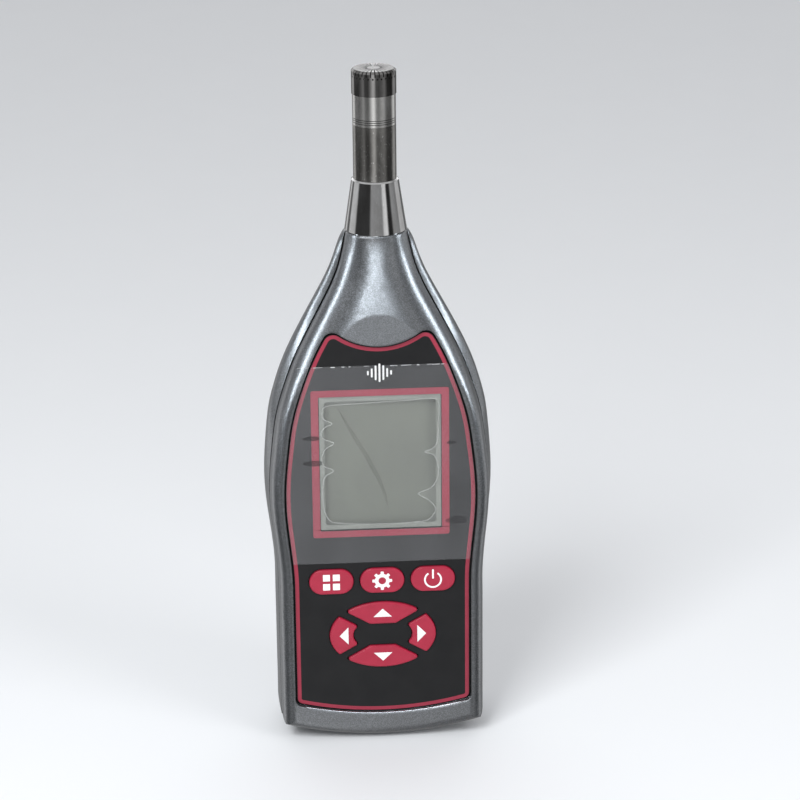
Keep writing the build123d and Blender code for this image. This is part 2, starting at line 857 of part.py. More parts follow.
def battery_springs():
    """Conical coil at the flat end of each cell, drawn as a stepped cone of rings."""
    springs = Part()
    length = cell_spring_room - 1.0
    turns = 5
    for i, x in enumerate(cell_places()):
        base = tray_bottom + tray_wall if i % 2 == 0 else tray_top - tray_wall
        way = 1 if i % 2 == 0 else -1
        for turn in range(turns):
            radius = 3.4 - 0.35 * turn
            height = base + way * (0.3 + turn * (length - 0.6) / (turns - 1))
            springs = springs + Pos(x, cells_y, height) * Torus(radius, 0.28)
    return springs


def battery_cover():
    """Lid flush with the back, with a rib frame that drops into the opening and grip ridges."""
    lid = slab(battery_opening(0), tray_back_y + cover_gap, back_y)
    lid = lid & rear_body(0)
    for i in range(grip_count):
        place = Pos(0, cover_bottom + grip_inset + i * grip_pitch)
        lid = lid - slab(place * stadium(grip_length, grip_width), back_y - grip_depth, back_y + 1.0)
    return lid - post(0, cover_screw_height, cover_screw_radius + 0.1, tray_back_y - 1.0, back_y + 1.0)


def cover_screw():
    head = post(0, cover_screw_height, cover_screw_radius, tray_back_y + cover_gap, back_y - 0.2)
    drive = Pos(0, cover_screw_height) * (Rectangle(2.0, 0.4) + Rectangle(0.4, 2.0))
    return head - slab(drive, back_y - 0.8, back_y + 1.0)


def tripod_insert():
    insert = post(0, tripod_height, tripod_insert_radius, back_y - tripod_insert_length, back_y)
    return insert - post(0, tripod_height, tripod_hole_radius, back_y - tripod_hole_length, back_y + 1.0)


def build():
    pieces = {
        "front_shell": front_shell(),
        "rear_shell": rear_shell(),
        "neck_collar": neck_collar(),
        "tube_seal": tube_seal(),
        "preamp_tube": preamp_tube(),
        "preamp_board": preamp_board(),
        "preamp_socket": preamp_socket(),
        "mic_cartridge": mic_cartridge(),
        "mic_grid": mic_grid(),
        "mic_diaphragm": mic_diaphragm(),
        "mic_backplate": mic_backplate(),
        "mic_insulator": mic_insulator(),
        "contact_pin": contact_pin(),
        "panel_overlay": panel_overlay(),
        "display_window": display_window(),
        "protective_film": protective_film(),
        "lcd_cell": lcd_cell(),
        "lcd_reflector": lcd_reflector(),
        "lcd_holder": lcd_holder(),
        "zebra_strips": zebra_strips(),
        "key_mat": key_mat(),
        "main_board": main_board(),
        "board_chips": board_chips(),
        "chip_shield": chip_shield(),
        "board_screws": board_screws(),
        "shell_screws": shell_screws(),
        "battery_tray": battery_tray(),
        "battery_cells": battery_cells(),
        "battery_contacts": battery_contacts(),
        "battery_springs": battery_springs(),
        "battery_cover": battery_cover(),
        "cover_screw": cover_screw(),
        "tripod_insert": tripod_insert(),
    }
    for name in key_faces(0.0):
        pieces[name] = key_solid(name)
    return pieces


os.makedirs("parts", exist_ok=True)
for node, piece in build().items():
    export_step(piece, f"parts/{node}.step")
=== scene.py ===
import json
import math
import random

import bpy
from mathutils import Matrix, Vector


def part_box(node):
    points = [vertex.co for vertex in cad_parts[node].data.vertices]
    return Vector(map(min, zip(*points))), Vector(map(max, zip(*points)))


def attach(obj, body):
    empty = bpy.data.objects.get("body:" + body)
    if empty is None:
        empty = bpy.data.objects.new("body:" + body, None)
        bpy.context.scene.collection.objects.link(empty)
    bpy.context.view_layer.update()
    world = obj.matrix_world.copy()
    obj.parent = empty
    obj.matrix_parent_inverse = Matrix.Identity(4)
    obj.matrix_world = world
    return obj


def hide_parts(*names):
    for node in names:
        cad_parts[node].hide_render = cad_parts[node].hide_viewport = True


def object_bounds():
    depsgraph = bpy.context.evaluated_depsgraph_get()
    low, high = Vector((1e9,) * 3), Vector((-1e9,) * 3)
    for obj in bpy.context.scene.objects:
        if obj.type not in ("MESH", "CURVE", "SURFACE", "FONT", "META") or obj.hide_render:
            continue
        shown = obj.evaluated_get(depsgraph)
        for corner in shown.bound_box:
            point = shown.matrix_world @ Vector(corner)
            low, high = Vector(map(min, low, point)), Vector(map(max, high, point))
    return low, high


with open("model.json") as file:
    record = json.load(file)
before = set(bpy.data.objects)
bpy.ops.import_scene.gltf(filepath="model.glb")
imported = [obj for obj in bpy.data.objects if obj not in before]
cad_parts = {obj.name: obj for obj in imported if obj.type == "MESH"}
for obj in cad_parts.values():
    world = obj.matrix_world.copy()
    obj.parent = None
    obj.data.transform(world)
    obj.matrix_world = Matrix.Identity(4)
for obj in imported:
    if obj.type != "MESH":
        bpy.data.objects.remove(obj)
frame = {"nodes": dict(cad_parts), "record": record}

cad_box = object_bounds()
MM = 0.001

# ---------------------------------------------------------------- camera

CAMERA_DISTANCE = 0.900
CAMERA_ELEVATION = math.radians(19.97)
CAMERA_AZIMUTH = math.radians(-3.3)
CAMERA_ROLL = math.radians(-0.75)
SENSOR_WIDTH = 36.0
FOCAL_LENGTH = 133.38
# Lens shift as shares of the frame: the object stands a little left of the middle
SHIFT_X = 0.02875
SHIFT_Y = 0.00425


def make_camera():
    low, high = cad_box
    target = (Vector(low) + Vector(high)) / 2
    flat = math.cos(CAMERA_ELEVATION)
    rise = math.sin(CAMERA_ELEVATION)
    out = Vector((math.sin(CAMERA_AZIMUTH) * flat, -math.cos(CAMERA_AZIMUTH) * flat, rise))
    data = bpy.data.cameras.new("camera")
    data.sensor_width = SENSOR_WIDTH
    data.lens = FOCAL_LENGTH
    data.shift_x = SHIFT_X
    data.shift_y = SHIFT_Y
    data.clip_start = 0.01
    camera = bpy.data.objects.new("camera", data)
    turn = (-out).to_track_quat("-Z", "Y").to_matrix().to_4x4()
    roll = Matrix.Rotation(CAMERA_ROLL, 4, "Z")
    camera.matrix_world = Matrix.Translation(target + out * CAMERA_DISTANCE) @ turn @ roll
    bpy.context.scene.collection.objects.link(camera)
    bpy.context.scene.camera = camera


# ---------------------------------------------------------------- studio

# Brightness round the object as (share of a turn, value): 0.5 is the display side. Low is what
# upright metal mirrors, level what the cone mirrors, upper what tilted surfaces mirror.
LOW = (
    (0.000, 0.40), (0.085, 0.35), (0.110, 1.10), (0.140, 1.00), (0.165, 0.10), (0.250, 0.06),
    (0.300, 0.30), (0.335, 0.55), (0.360, 0.16), (0.410, 0.14), (0.440, 0.55), (0.480, 1.60),
    (0.500, 1.20), (0.520, 0.30), (0.560, 0.20), (0.610, 0.32), (0.640, 0.60), (0.665, 0.30),
    (0.690, 0.06), (0.780, 0.05), (0.810, 0.70), (0.850, 0.90), (0.880, 0.20), (1.000, 0.40),
)
LEVEL = (
    (0.000, 0.30), (0.080, 0.20), (0.100, 1.20), (0.130, 0.30), (0.160, 0.10), (0.180, 0.80),
    (0.255, 0.70), (0.275, 0.06), (0.425, 0.05), (0.445, 0.42), (0.510, 0.40), (0.565, 0.36),
    (0.582, 0.95), (0.616, 1.10), (0.630, 0.12), (0.638, 0.03), (0.672, 0.04), (0.690, 0.42),
    (0.770, 0.30), (0.785, 0.75), (0.860, 0.65), (0.885, 0.10), (0.930, 0.10), (0.950, 0.60), (1.000, 0.30),
)
UPPER = (
    (0.000, 1.90), (0.080, 1.50), (0.150, 0.30), (0.225, 0.14), (0.320, 0.20), (0.430, 0.16),
    (0.500, 0.30), (0.570, 0.14), (0.680, 0.20), (0.775, 0.14), (0.850, 0.30), (0.920, 1.50), (1.000, 1.90),
)
CEILING = 0.75
BACKDROP = (0.86, 0.87, 0.89)
LIGHT_TINT = (0.985, 0.995, 1.01)


def ramp(tree, stops, factor):
    node = tree.nodes.new("ShaderNodeValToRGB")
    elements = node.color_ramp.elements
    while len(elements) < len(stops):
        elements.new(0.5)
    for element, (place, value) in zip(elements, stops):
        element.position = place
        element.color = (value, value, value, 1)
    tree.links.new(factor, node.inputs["Fac"])
    return node.outputs["Color"]


def math_node(tree, kind, a, b=None):
    node = tree.nodes.new("ShaderNodeMath")
    node.operation = kind
    for socket, value in zip(node.inputs, (a, b)):
        if value is None:
            continue
        if isinstance(value, (int, float)):
            socket.default_value = value
        else:
            tree.links.new(value, socket)
    return node.outputs[0]


def mix_colour(tree, factor, a, b, kind="MIX"):
    node = tree.nodes.new("ShaderNodeMix")
    node.data_type = "RGBA"
    node.blend_type = kind
    node.clamp_result = False
    for socket, value in ((node.inputs[0], factor), (node.inputs[6], a), (node.inputs[7], b)):
        if isinstance(value, (int, float)):
            socket.default_value = value
        elif isinstance(value, tuple):
            socket.default_value = (*value, 1)
        else:
            tree.links.new(value, socket)
    return node.outputs[2]


def between(tree, value, low, high):
    """0 below low, 1 above high, smooth between."""
    node = tree.nodes.new("ShaderNodeMapRange")
    node.interpolation_type = "SMOOTHSTEP"
    tree.links.new(value, node.inputs["Value"])
    node.inputs["From Min"].default_value = low
    node.inputs["From Max"].default_value = high
    return node.outputs["Result"]


def make_world():
    world = bpy.data.worlds.new("studio")
    world.use_nodes = True
    tree = world.node_tree
    background = tree.nodes["Background"]
    direction = tree.nodes.new("ShaderNodeTexCoord").outputs["Generated"]
    parts = tree.nodes.new("ShaderNodeSeparateXYZ")
    tree.links.new(direction, parts.inputs[0])
    away = math_node(tree, "MULTIPLY", parts.outputs["Y"], -1.0)
    turn = math_node(tree, "ARCTAN2", parts.outputs["X"], away)
    share = math_node(tree, "MULTIPLY_ADD", turn, 1 / (2 * math.pi))
    share.node.inputs[2].default_value = 0.5
    above_low = between(tree, parts.outputs["Z"], -0.24, -0.16)
    light = mix_colour(tree, above_low, ramp(tree, LOW, share), ramp(tree, LEVEL, share))
    light = mix_colour(tree, between(tree, parts.outputs["Z"], 0.02, 0.12), light, ramp(tree, UPPER, share))
    light = mix_colour(tree, between(tree, parts.outputs["Z"], 0.55, 0.80), light, (CEILING,) * 3)
    light = mix_colour(tree, 1.0, light, LIGHT_TINT, "MULTIPLY")
    seen = tree.nodes.new("ShaderNodeLightPath").outputs["Is Camera Ray"]
    light = mix_colour(tree, seen, light, BACKDROP)
    tree.links.new(light, background.inputs["Color"])
    background.inputs["Strength"].default_value = 0.85
    bpy.context.scene.world = world


def area_light(name, place, target, size, power, tint=(1, 1, 1), only=(), mirrored=True):
    """Soft box; with nodes in only, it lights just those, like a flagged lamp."""
    data = bpy.data.lights.new(name, "AREA")
    data.shape = "RECTANGLE"
    data.size, data.size_y = size
    data.energy = power
    data.color = tint
    light = bpy.data.objects.new(name, data)
    light.location = place
    light.rotation_euler = (Vector(target) - Vector(place)).to_track_quat("-Z", "Y").to_euler()
    light.visible_glossy = mirrored
    bpy.context.scene.collection.objects.link(light)
    if only:
        group = bpy.data.collections.new(name + "_on")
        for node in only:
            group.objects.link(frame["nodes"][node])
        light.light_linking.receiver_collection = group


def make_floor():
    side = 6.0
    steps = 12
    points = []
    for i in range(steps + 1):
        for j in range(steps + 1):
            points.append((side * (i / steps - 0.5), side * (j / steps - 0.5), 0.0))
    faces = []
    for i in range(steps):
        for j in range(steps):
            a = i * (steps + 1) + j
            faces.append((a, a + steps + 1, a + steps + 2, a + 1))
    mesh = bpy.data.meshes.new("floor")
    mesh.from_pydata(points, [], faces)
    floor = bpy.data.objects.new("floor", mesh)
    bpy.context.scene.collection.objects.link(floor)
    floor.visible_glossy = False
    material, tree, shader = new_material("studio_floor", (0.84, 0.85, 0.87), 0.75)
    grain = noise(tree, (40, 40, 40), 3)
    vary(tree, shader, "Roughness", grain, 0.7, 0.8)
    mesh.materials.append(material)


# ---------------------------------------------------------------- material tools


def new_material(
    name, colour, rough, metallic=0.0, alpha=1.0, specular=0.5, coat=0.0, coat_rough=0.1, ior=1.45
):
    material = bpy.data.materials.new(name)
    material.use_nodes = True
    shader = material.node_tree.nodes["Principled BSDF"]
    shader.inputs["Base Color"].default_value = (*colour, 1)
    shader.inputs["Roughness"].default_value = rough
    shader.inputs["Metallic"].default_value = metallic
    shader.inputs["Alpha"].default_value = alpha
    shader.inputs["Specular IOR Level"].default_value = specular
    shader.inputs["Coat Weight"].default_value = coat
    shader.inputs["Coat Roughness"].default_value = coat_rough
    shader.inputs["IOR"].default_value = ior
    return material, material.node_tree, shader


def place_of(tree, stretch):
    """The piece's own coordinates in metres, each axis multiplied by a stretch."""
    coords = tree.nodes.new("ShaderNodeTexCoord").outputs["Object"]
    scale = tree.nodes.new("ShaderNodeVectorMath")
    scale.operation = "MULTIPLY"
    scale.inputs[1].default_value = stretch
    tree.links.new(coords, scale.inputs[0])
    return scale.outputs[0]


def noise(tree, stretch, detail=2, rough=0.5):
    """Noise whose features are about one stretched unit across."""
    node = tree.nodes.new("ShaderNodeTexNoise")
    node.inputs["Scale"].default_value = 1.0
    node.inputs["Detail"].default_value = detail
    node.inputs["Roughness"].default_value = rough
    tree.links.new(place_of(tree, stretch), node.inputs["Vector"])
    return node.outputs["Fac"]


def cells(tree, size):
    """Random colour in each of many small cells."""
    node = tree.nodes.new("ShaderNodeTexVoronoi")
    node.inputs["Scale"].default_value = 1.0
    tree.links.new(place_of(tree, (1 / size,) * 3), node.inputs["Vector"])
    return node.outputs["Color"], node.outputs["Distance"]


def remap(tree, value, low, high, from_low=0.3, from_high=0.7):
    node = tree.nodes.new("ShaderNodeMapRange")
    tree.links.new(value, node.inputs["Value"])
    node.inputs["From Min"].default_value = from_low
    node.inputs["From Max"].default_value = from_high
    node.inputs["To Min"].default_value = low
    node.inputs["To Max"].default_value = high
    return node.outputs["Result"]


def vary(tree, shader, socket, value, low, high):
    tree.links.new(remap(tree, value, low, high), shader.inputs[socket])


def tint_between(tree, shader, value, dark, light):
    factor = remap(tree, value, 0.0, 1.0)
    tree.links.new(mix_colour(tree, factor, dark, light), shader.inputs["Base Color"])


def bump(tree, shader, height, depth, strength=1.0):
    """Relief of a depth in metres on the shader's surface."""
    node = tree.nodes.new("ShaderNodeBump")
    node.inputs["Strength"].default_value = strength
    node.inputs["Distance"].default_value = depth
    tree.links.new(height, node.inputs["Height"])
    tree.links.new(node.outputs[0], shader.inputs["Normal"])


def flake_normal(tree, random_colour, tilt, normal):
    """Surface normal tipped at random from flake to flake."""
    centre = tree.nodes.new("ShaderNodeVectorMath")
    centre.operation = "SUBTRACT"
    centre.inputs[1].default_value = (0.5, 0.5, 0.5)
    tree.links.new(random_colour, centre.inputs[0])
    scaled = tree.nodes.new("ShaderNodeVectorMath")
    scaled.operation = "SCALE"
    scaled.inputs["Scale"].default_value = tilt
    tree.links.new(centre.outputs[0], scaled.inputs[0])
    total = tree.nodes.new("ShaderNodeVectorMath")
    total.operation = "ADD"
    tree.links.new(normal, total.inputs[0])
    tree.links.new(scaled.outputs[0], total.inputs[1])
    unit = tree.nodes.new("ShaderNodeVectorMath")
    unit.operation = "NORMALIZE"
    tree.links.new(total.outputs[0], unit.inputs[0])
    return unit.outputs[0]


# ---------------------------------------------------------------- materials


def shell_paint():
    """Grey metallic lacquer with fine flakes; the seam and the recess floor get painted shade, near black
    and rough.
    """
    material, tree, shader = new_material(
        "shell_paint", (0.2, 0.2, 0.2), 0.3, metallic=0.9, coat=0.4, coat_rough=0.16
    )
    flakes, _ = cells(tree, 0.22 * MM)
    flake = tree.nodes.new("ShaderNodeSeparateColor")
    tree.links.new(flakes, flake.inputs[0])
    fine, _ = cells(tree, 0.1 * MM)
    small = tree.nodes.new("ShaderNodeSeparateColor")
    tree.links.new(fine, small.inputs[0])
    sparkle = math_node(tree, "MULTIPLY", flake.outputs[0], small.outputs[1])
    cloud = noise(tree, (60, 60, 60), 3)
    colour = mix_colour(tree, remap(tree, sparkle, 0.0, 1.0, 0.0, 0.8), PAINT_DARK, PAINT_LIGHT)
    colour = mix_colour(tree, remap(tree, cloud, 0.0, 0.2), colour, PAINT_CLOUD)
    parts = tree.nodes.new("ShaderNodeSeparateXYZ")
    tree.links.new(place_of(tree, (1, 1, 1)), parts.inputs[0])
    facing = tree.nodes.new("ShaderNodeSeparateXYZ")
    tree.links.new(tree.nodes.new("ShaderNodeNewGeometry").outputs["True Normal"], facing.inputs[0])
    overlay_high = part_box("panel_overlay")[1]
    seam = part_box("front_shell")[1][1] + SEAM_HALF
    # Painted shade: near black in the seam groove and on the forward-facing floor of the panel recess.
    from_seam = math_node(tree, "ABSOLUTE", math_node(tree, "SUBTRACT", parts.outputs["Y"], seam))
    seam_shade = math_node(tree, "LESS_THAN", from_seam, SEAM_HALF + 0.06 * MM)
    forward = math_node(tree, "LESS_THAN", facing.outputs["Y"], -0.95)
    deep = math_node(tree, "GREATER_THAN", parts.outputs["Y"], overlay_high[1] - 0.2 * MM)
    low_enough = math_node(tree, "LESS_THAN", parts.outputs["Z"], overlay_high[2] + 1.5 * MM)
    inside = math_node(tree, "MULTIPLY", math_node(tree, "MULTIPLY", forward, deep), low_enough)
    dark = math_node(tree, "MAXIMUM", seam_shade, inside)
    # The painted shade replaces the lacquer's colour there.
    colour = mix_colour(tree, dark, colour, (0.004, 0.004, 0.004))
    tree.links.new(colour, shader.inputs["Base Color"])
    edge = tree.nodes.new("ShaderNodeBevel")
    edge.samples = 4
    edge.inputs["Radius"].default_value = 0.9 * MM
    tree.links.new(flake_normal(tree, flakes, FLAKE_TILT, edge.outputs[0]), shader.inputs["Normal"])
    tree.links.new(edge.outputs[0], shader.inputs["Coat Normal"])
    wear = noise(tree, (350, 350, 350), 4, 0.6)
    rough = remap(tree, wear, 0.28, 0.34)
    rough = math_node(tree, "MAXIMUM", rough, math_node(tree, "MULTIPLY", dark, 0.9))
    tree.links.new(rough, shader.inputs["Roughness"])
    return material


def turned_metal(name, dark, light, rough, line, line_depth, speckle=0.0, scratch=0.0):
    """Metal turned about Z: fine lines round it, a few specks and scratches."""
    material, tree, shader = new_material(name, light, rough, metallic=1.0)
    lines = noise(tree, (120, 120, 1 / line), 3, 0.65)
    patches = noise(tree, (260, 260, 90), 4, 0.6)
    colour = mix_colour(tree, remap(tree, patches, 0.0, 1.0), dark, light)
    if speckle:
        random_colour, distance = cells(tree, 0.55 * MM)
        spot = math_node(tree, "LESS_THAN", distance, 0.16)
        pick = tree.nodes.new("ShaderNodeSeparateColor")
        tree.links.new(random_colour, pick.inputs[0])
        chosen = math_node(tree, "GREATER_THAN", pick.outputs[0], 0.6)
        speck = math_node(tree, "MULTIPLY", math_node(tree, "MULTIPLY", spot, chosen), speckle)
        colour = mix_colour(tree, speck, colour, (0.92, 0.92, 0.9))
    if scratch:
        marks = noise(tree, (2500, 2500, 90), 2, 0.5)
        mark = between(tree, marks, 0.66, 0.72)
        colour = mix_colour(tree, math_node(tree, "MULTIPLY", mark, scratch), colour, (0.9, 0.9, 0.9))
    tree.links.new(colour, shader.inputs["Base Color"])
    vary(tree, shader, "Roughness", patches, rough * 0.8, rough * 1.25)
    bump(tree, shader, lines, line_depth)
    return material


SPOKES = 32.0
SPOKE_REACH = 0.34  # as a share of the grid's radius


def grid_metal(finish):
    """The protection grid's dark metal, with fine dark spokes painted into the middle of its cap as painted
    shade of slots.
    """
    material = finish.copy()
    material.name = "grid_chrome"
    tree = material.node_tree
    shader = next(node for node in tree.nodes if node.type == "BSDF_PRINCIPLED")
    low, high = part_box("mic_grid")
    parts = tree.nodes.new("ShaderNodeSeparateXYZ")
    tree.links.new(place_of(tree, (1, 1, 1)), parts.inputs[0])
    across = math_node(tree, "SUBTRACT", parts.outputs["X"], (low[0] + high[0]) / 2)
    along = math_node(tree, "SUBTRACT", parts.outputs["Y"], (low[1] + high[1]) / 2)
    turn = math_node(tree, "ARCTAN2", along, across)
    spoke = math_node(tree, "SINE", math_node(tree, "MULTIPLY", turn, SPOKES))
    on_cap = math_node(tree, "GREATER_THAN", parts.outputs["Z"], high[2] - 0.5 * MM)
    across_squared = math_node(tree, "MULTIPLY", across, across)
    along_squared = math_node(tree, "MULTIPLY", along, along)
    distance_squared = math_node(tree, "ADD", across_squared, along_squared)
    reach = SPOKE_REACH * (high[0] - low[0]) / 2
    middle = math_node(tree, "LESS_THAN", distance_squared, reach**2)
    place = math_node(tree, "MULTIPLY", on_cap, middle)
    # Painted shade: dark spokes where the slots' shade would show.
    slot_shade = math_node(tree, "MULTIPLY", place, between(tree, spoke, -0.5, 0.3))
    before = shader.inputs["Base Color"].links[0].from_socket
    tree.links.new(mix_colour(tree, slot_shade, before, (0.02, 0.02, 0.02)), shader.inputs["Base Color"])
    return material


def moulded(name, dark, light, rough, grain=0.25, depth=0.01, **settings):
    """Moulded plastic or rubber with a fine grain."""
    material, tree, shader = new_material(name, light, rough, **settings)
    cloud = noise(tree, (150, 150, 150), 3)
    tint_between(tree, shader, cloud, dark, light)
    fine = noise(tree, (1 / (grain * MM),) * 3, 2)
    vary(tree, shader, "Roughness", fine, rough * 0.9, rough * 1.12)
    bump(tree, shader, fine, depth * MM)
    return material


def pillow_rubber(name, dark, light, rough):
    """Smooth silicone whose edges roll over softly."""
    material, tree, shader = new_material(name, light, rough, coat=0.25, coat_rough=0.25)
    cloud = noise(tree, (200, 200, 200), 3)
    tint_between(tree, shader, cloud, dark, light)
    fine = noise(tree, (5000, 5000, 5000), 2)
    vary(tree, shader, "Roughness", fine, rough * 0.9, rough * 1.12)
    edge = tree.nodes.new("ShaderNodeBevel")
    edge.samples = 4
    edge.inputs["Radius"].default_value = 0.7 * MM
    tree.links.new(edge.outputs[0], shader.inputs["Normal"])
    tree.links.new(edge.outputs[0], shader.inputs["Coat Normal"])
    return material


def plated(name, dark, light, rough):
    """Pressed or plated metal with soft clouding."""
    material, tree, shader = new_material(name, light, rough, metallic=1.0)
    cloud = noise(tree, (700, 700, 700), 3, 0.6)
    tint_between(tree, shader, cloud, dark, light)
    vary(tree, shader, "Roughness", cloud, rough * 0.8, rough * 1.3)
    bump(tree, shader, cloud, 0.004 * MM)
    return material


def printed_board():
    """Green solder mask over faint copper tracks, with a weave under it."""
    material, tree, shader = new_material("board_green", (0.02, 0.16, 0.07), 0.4, coat=0.3, coat_rough=0.2)
    tracks, distance = cells(tree, 2.4 * MM)
    track = between(tree, distance, 0.42, 0.47)
    colour = mix_colour(tree, track, (0.012, 0.12, 0.05), (0.03, 0.22, 0.1))
    tree.links.new(colour, shader.inputs["Base Color"])
    weave = noise(tree, (900, 5000, 900), 2)
    vary(tree, shader, "Roughness", weave, 0.34, 0.46)
    bump(tree, shader, track, 0.03 * MM, 0.5)
    return material


def clear_sheet(name, colour, low_alpha, high_alpha, rough, wave):
    """Clear plastic: its alpha is the faint haze and gloss that show."""
    material, tree, shader = new_material(name, colour, rough, alpha=high_alpha, specular=1.0, ior=1.6)
    haze = noise(tree, (60, 60, 35), 1)
    vary(tree, shader, "Alpha", haze, low_alpha, high_alpha)
    vary(tree, shader, "Roughness", haze, rough * 0.7, rough * 1.3)
    ripple = noise(tree, (70, 70, 40), 0)
    bump(tree, shader, ripple, wave * MM)
    return material


def display_glass():
    """Unlit liquid-crystal display: grey green, a little darker towards the bottom as painted shade."""
    material, tree, shader = new_material("lcd_glass", (0.2, 0.215, 0.19), 0.35)
    low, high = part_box("lcd_cell")
    parts = tree.nodes.new("ShaderNodeSeparateXYZ")
    tree.links.new(place_of(tree, (1, 1, 1)), parts.inputs[0])
    # Painted shade: darker at the bottom of the cell, lighter at its top.
    rise = between(tree, parts.outputs["Z"], low[2], high[2])
    colour = mix_colour(tree, rise, (0.2, 0.215, 0.18), (0.24, 0.255, 0.215))
    grain = noise(tree, (700, 700, 700), 2)
    colour = mix_colour(tree, remap(tree, grain, 0.0, 0.2), colour, (0.2, 0.212, 0.185))
    tree.links.new(colour, shader.inputs["Base Color"])
    vary(tree, shader, "Roughness", grain, 0.32, 0.42)
    return material


SEAM_HALF = 0.25 * MM
PAINT_DARK = (0.165, 0.169, 0.175)
PAINT_LIGHT = (0.4, 0.415, 0.44)
PAINT_CLOUD = (0.18, 0.182, 0.184)
FLAKE_TILT = 0.055


def make_materials():
    return {
        "shell_paint": shell_paint(),
        "polished_steel": turned_metal(
            "polished_steel", (0.5, 0.49, 0.48), (0.7, 0.7, 0.7), 0.085, 0.16 * MM, 0.0012 * MM, scratch=0.5
        ),
        "satin_steel": turned_metal(
            "satin_steel", (0.22, 0.212, 0.2), (0.42, 0.41, 0.39), 0.2, 0.12 * MM, 0.004 * MM, speckle=0.9
        ),
        "bright_steel": turned_metal(
            "bright_steel", (0.6, 0.59, 0.57), (0.78, 0.77, 0.75), 0.2, 0.1 * MM, 0.004 * MM
        ),
        "dark_chrome": turned_metal(
            "dark_chrome", (0.2, 0.195, 0.19), (0.34, 0.33, 0.325), 0.1, 0.2 * MM, 0.001 * MM
        ),
        "insulator": moulded("insulator", (0.66, 0.66, 0.6), (0.8, 0.8, 0.74), 0.45),
        "brass": plated("brass", (0.6, 0.43, 0.16), (0.8, 0.6, 0.27), 0.25),
        "black_rubber": moulded("black_rubber", (0.012, 0.012, 0.012), (0.03, 0.03, 0.03), 0.6),
        "board_green": printed_board(),
        "black_panel": moulded(
            "black_panel", (0.0085, 0.0085, 0.0095), (0.0115, 0.0115, 0.0125),
            0.34, 0.3, 0.0008, specular=0.4,
        ),
        "clear_window": clear_sheet("clear_window", (0.6, 0.62, 0.6), 0.06, 0.10, 0.08, 0.002),
        "clear_film": clear_sheet("clear_film", (0.5, 0.51, 0.53), 0.11, 0.17, 0.3, 0.02),
        "lcd_glass": display_glass(),
        "white_plastic": moulded("white_plastic", (0.76, 0.76, 0.75), (0.84, 0.84, 0.83), 0.4),
        "clear_rubber": moulded("clear_rubber", (0.4, 0.4, 0.4), (0.55, 0.55, 0.55), 0.5),
        "chip_black": moulded("chip_black", (0.018, 0.018, 0.018), (0.032, 0.032, 0.032), 0.5),
        "zinc_steel": plated("zinc_steel", (0.5, 0.5, 0.52), (0.68, 0.68, 0.7), 0.3),
        "cell_wrap": moulded("cell_wrap", (0.02, 0.03, 0.16), (0.04, 0.05, 0.24), 0.3, coat=0.3),
        "key_red": pillow_rubber("key_red", (0.37, 0.014, 0.042), (0.42, 0.018, 0.052), 0.4),
    }


def dress_frame(materials):
    """Every CAD node takes the finish of its slot; inside the grid the diaphragm and backplate take a dark
    finish as painted shade.
    """
    slot_of = {row["node"]: row["material_slot"] for row in frame["record"]["subparts"]}
    # Painted shade: the diaphragm and backplate seen through the grid are coloured dark.
    inner = plated("diaphragm_foil_shade", (0.05, 0.05, 0.05), (0.1, 0.098, 0.095), 0.3)
    own = {"mic_diaphragm": inner, "mic_backplate": inner, "mic_grid": grid_metal(materials["dark_chrome"])}
    for name, node in frame["nodes"].items():
        node.data.materials.clear()
        node.data.materials.append(own.get(name) or materials[slot_of[name]])


# ---------------------------------------------------------------- mesh tools


def piece(name, points, faces, material, body):
    mesh = bpy.data.meshes.new(name)
    mesh.from_pydata(points, [], faces)
    mesh.validate()
    mesh.materials.append(material)
    obj = bpy.data.objects.new(name, mesh)
    bpy.context.scene.collection.objects.link(obj)
    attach(obj, body)
    return obj


def prism_data(outline, y_front, y_back):
    """Solid between two planes across Y, from one outline of (x, z)."""
    count = len(outline)
    points = [(x, y_front, z) for x, z in outline] + [(x, y_back, z) for x, z in outline]
    faces = [tuple(range(count)), tuple(range(2 * count - 1, count - 1, -1))]
    faces += [(i, count + i, count + (i + 1) % count, (i + 1) % count) for i in range(count)]
    return points, faces


def ring_data(outer, inner, y_front, y_back, closed=True):
    """Solid strip between two outlines of the same number of points."""
    count = len(outer)
    points = []
    for loop, y in ((outer, y_front), (inner, y_front), (outer, y_back), (inner, y_back)):
        points += [(x, y, z) for x, z in loop]
    faces = []
    for i in range(count if closed else count - 1):
        j = (i + 1) % count
        faces.append((i, j, count + j, count + i))
        faces.append((2 * count + i, 3 * count + i, 3 * count + j, 2 * count + j))
        faces.append((i, 2 * count + i, 2 * count + j, j))
        faces.append((count + i, count + j, 3 * count + j, 3 * count + i))
    if not closed:
        last = count - 1
        faces.append((0, count, 3 * count, 2 * count))
        faces.append((last, 2 * count + last, 3 * count + last, count + last))
    return points, faces


def joined(solids):
    """Several solids as one list of points and faces."""
    points, faces = [], []
    for solid_points, solid_faces in solids:
        start = len(points)
        points += solid_points
        faces += [tuple(start + i for i in face) for face in solid_faces]
    return points, faces


def rounded_rectangle(x, z, width, height, radius, steps=6):
    loop = []
    for sign_x, sign_z, start in ((1, 1, 0), (-1, 1, 90), (-1, -1, 180), (1, -1, 270)):
        cx = x + sign_x * (width / 2 - radius)
        cz = z + sign_z * (height / 2 - radius)
        for i in range(steps + 1):
            angle = math.radians(start + 90 * i / steps)
            loop.append((cx + radius * math.cos(angle), cz + radius * math.sin(angle)))
    return loop


